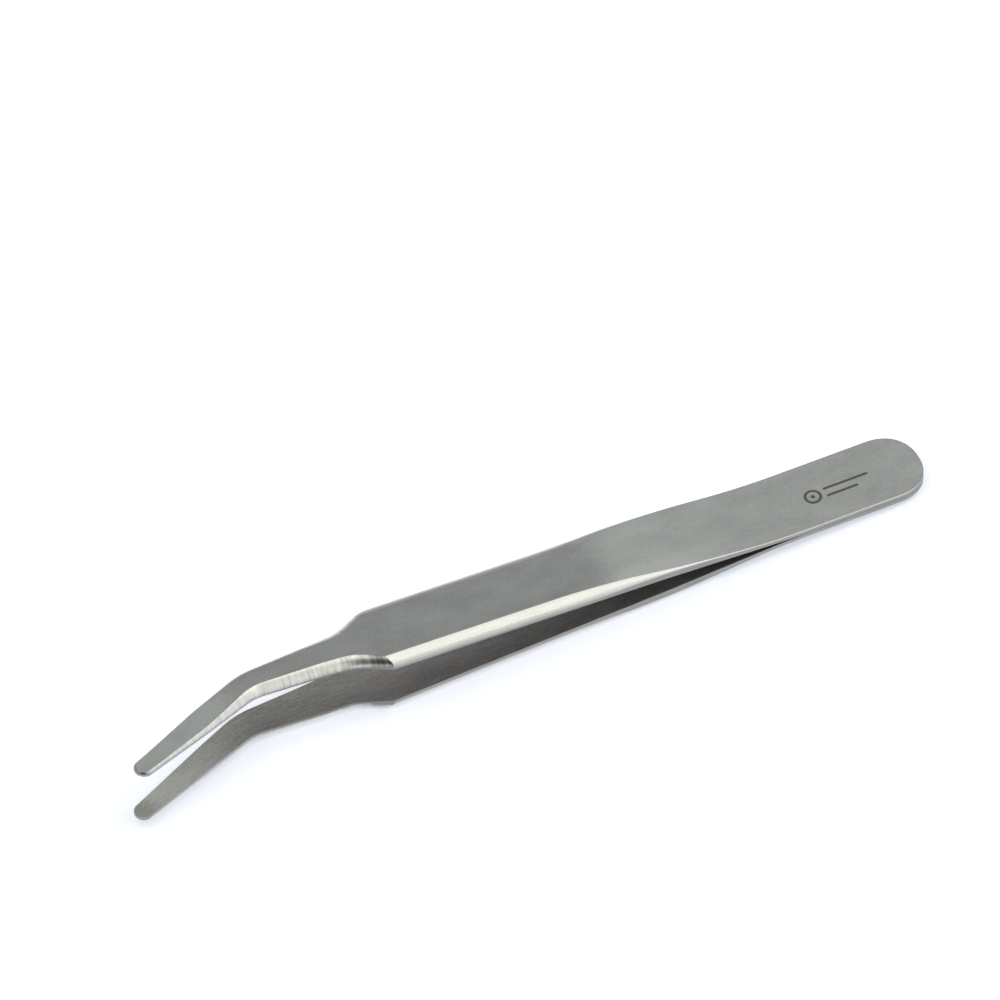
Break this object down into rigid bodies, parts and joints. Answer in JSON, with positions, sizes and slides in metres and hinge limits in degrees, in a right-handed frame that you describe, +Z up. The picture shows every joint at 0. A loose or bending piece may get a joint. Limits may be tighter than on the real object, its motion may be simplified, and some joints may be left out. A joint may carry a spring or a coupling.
{
  "type": "precision tweezers",
  "caption": "Fine-work tweezers of two flat spring-steel leaves welded at a round heel, with slim necks and jaws bent sideways to blunt round points.",
  "frame": {"origin": "middle of the tweezers' footprint, on the surface that the lower leaf's flat grip lies on", "axes": "+X along the leaves towards the round heel, so the jaws point to -X and are bent sideways towards -Y; +Z up, from the lower leaf to the upper leaf"},
  "size_m": [0.1206, 0.0142, 0.0114],
  "materials": {
    "satin_steel": "satin stainless steel with fine lengthwise grain, polished rounded edges and cross-ground neck sides",
    "weld_steel": "matt fused steel"
  },
  "bodies": {
    "heel": {"upper_leaf_heel": "satin_steel", "lower_leaf_heel": "satin_steel", "weld_nugget_rear": "weld_steel", "weld_nugget_front": "weld_steel"},
    "upper_arm": {"upper_leaf_arm": "satin_steel"},
    "lower_arm": {"lower_leaf_arm": "satin_steel"}
  },
  "joints": [
    {"name": "upper_flexure", "type": "hinge", "parent": "heel", "child": "upper_arm", "pos_m": [0.03231, 0.00169, 0.00325], "axis": [0, -1, 0], "range_deg": [0, 2.53], "stiffness_Nm_per_rad": 3},
    {"name": "lower_flexure", "type": "hinge", "parent": "heel", "child": "lower_arm", "pos_m": [0.03223, 0.00169, 0.00156], "axis": [0, 1, 0], "range_deg": [0, 2.53], "stiffness_Nm_per_rad": 3}
  ],
  "couplings": [
    {"joint": "lower_flexure", "follows": "upper_flexure", "ratio": 1}
  ]
}
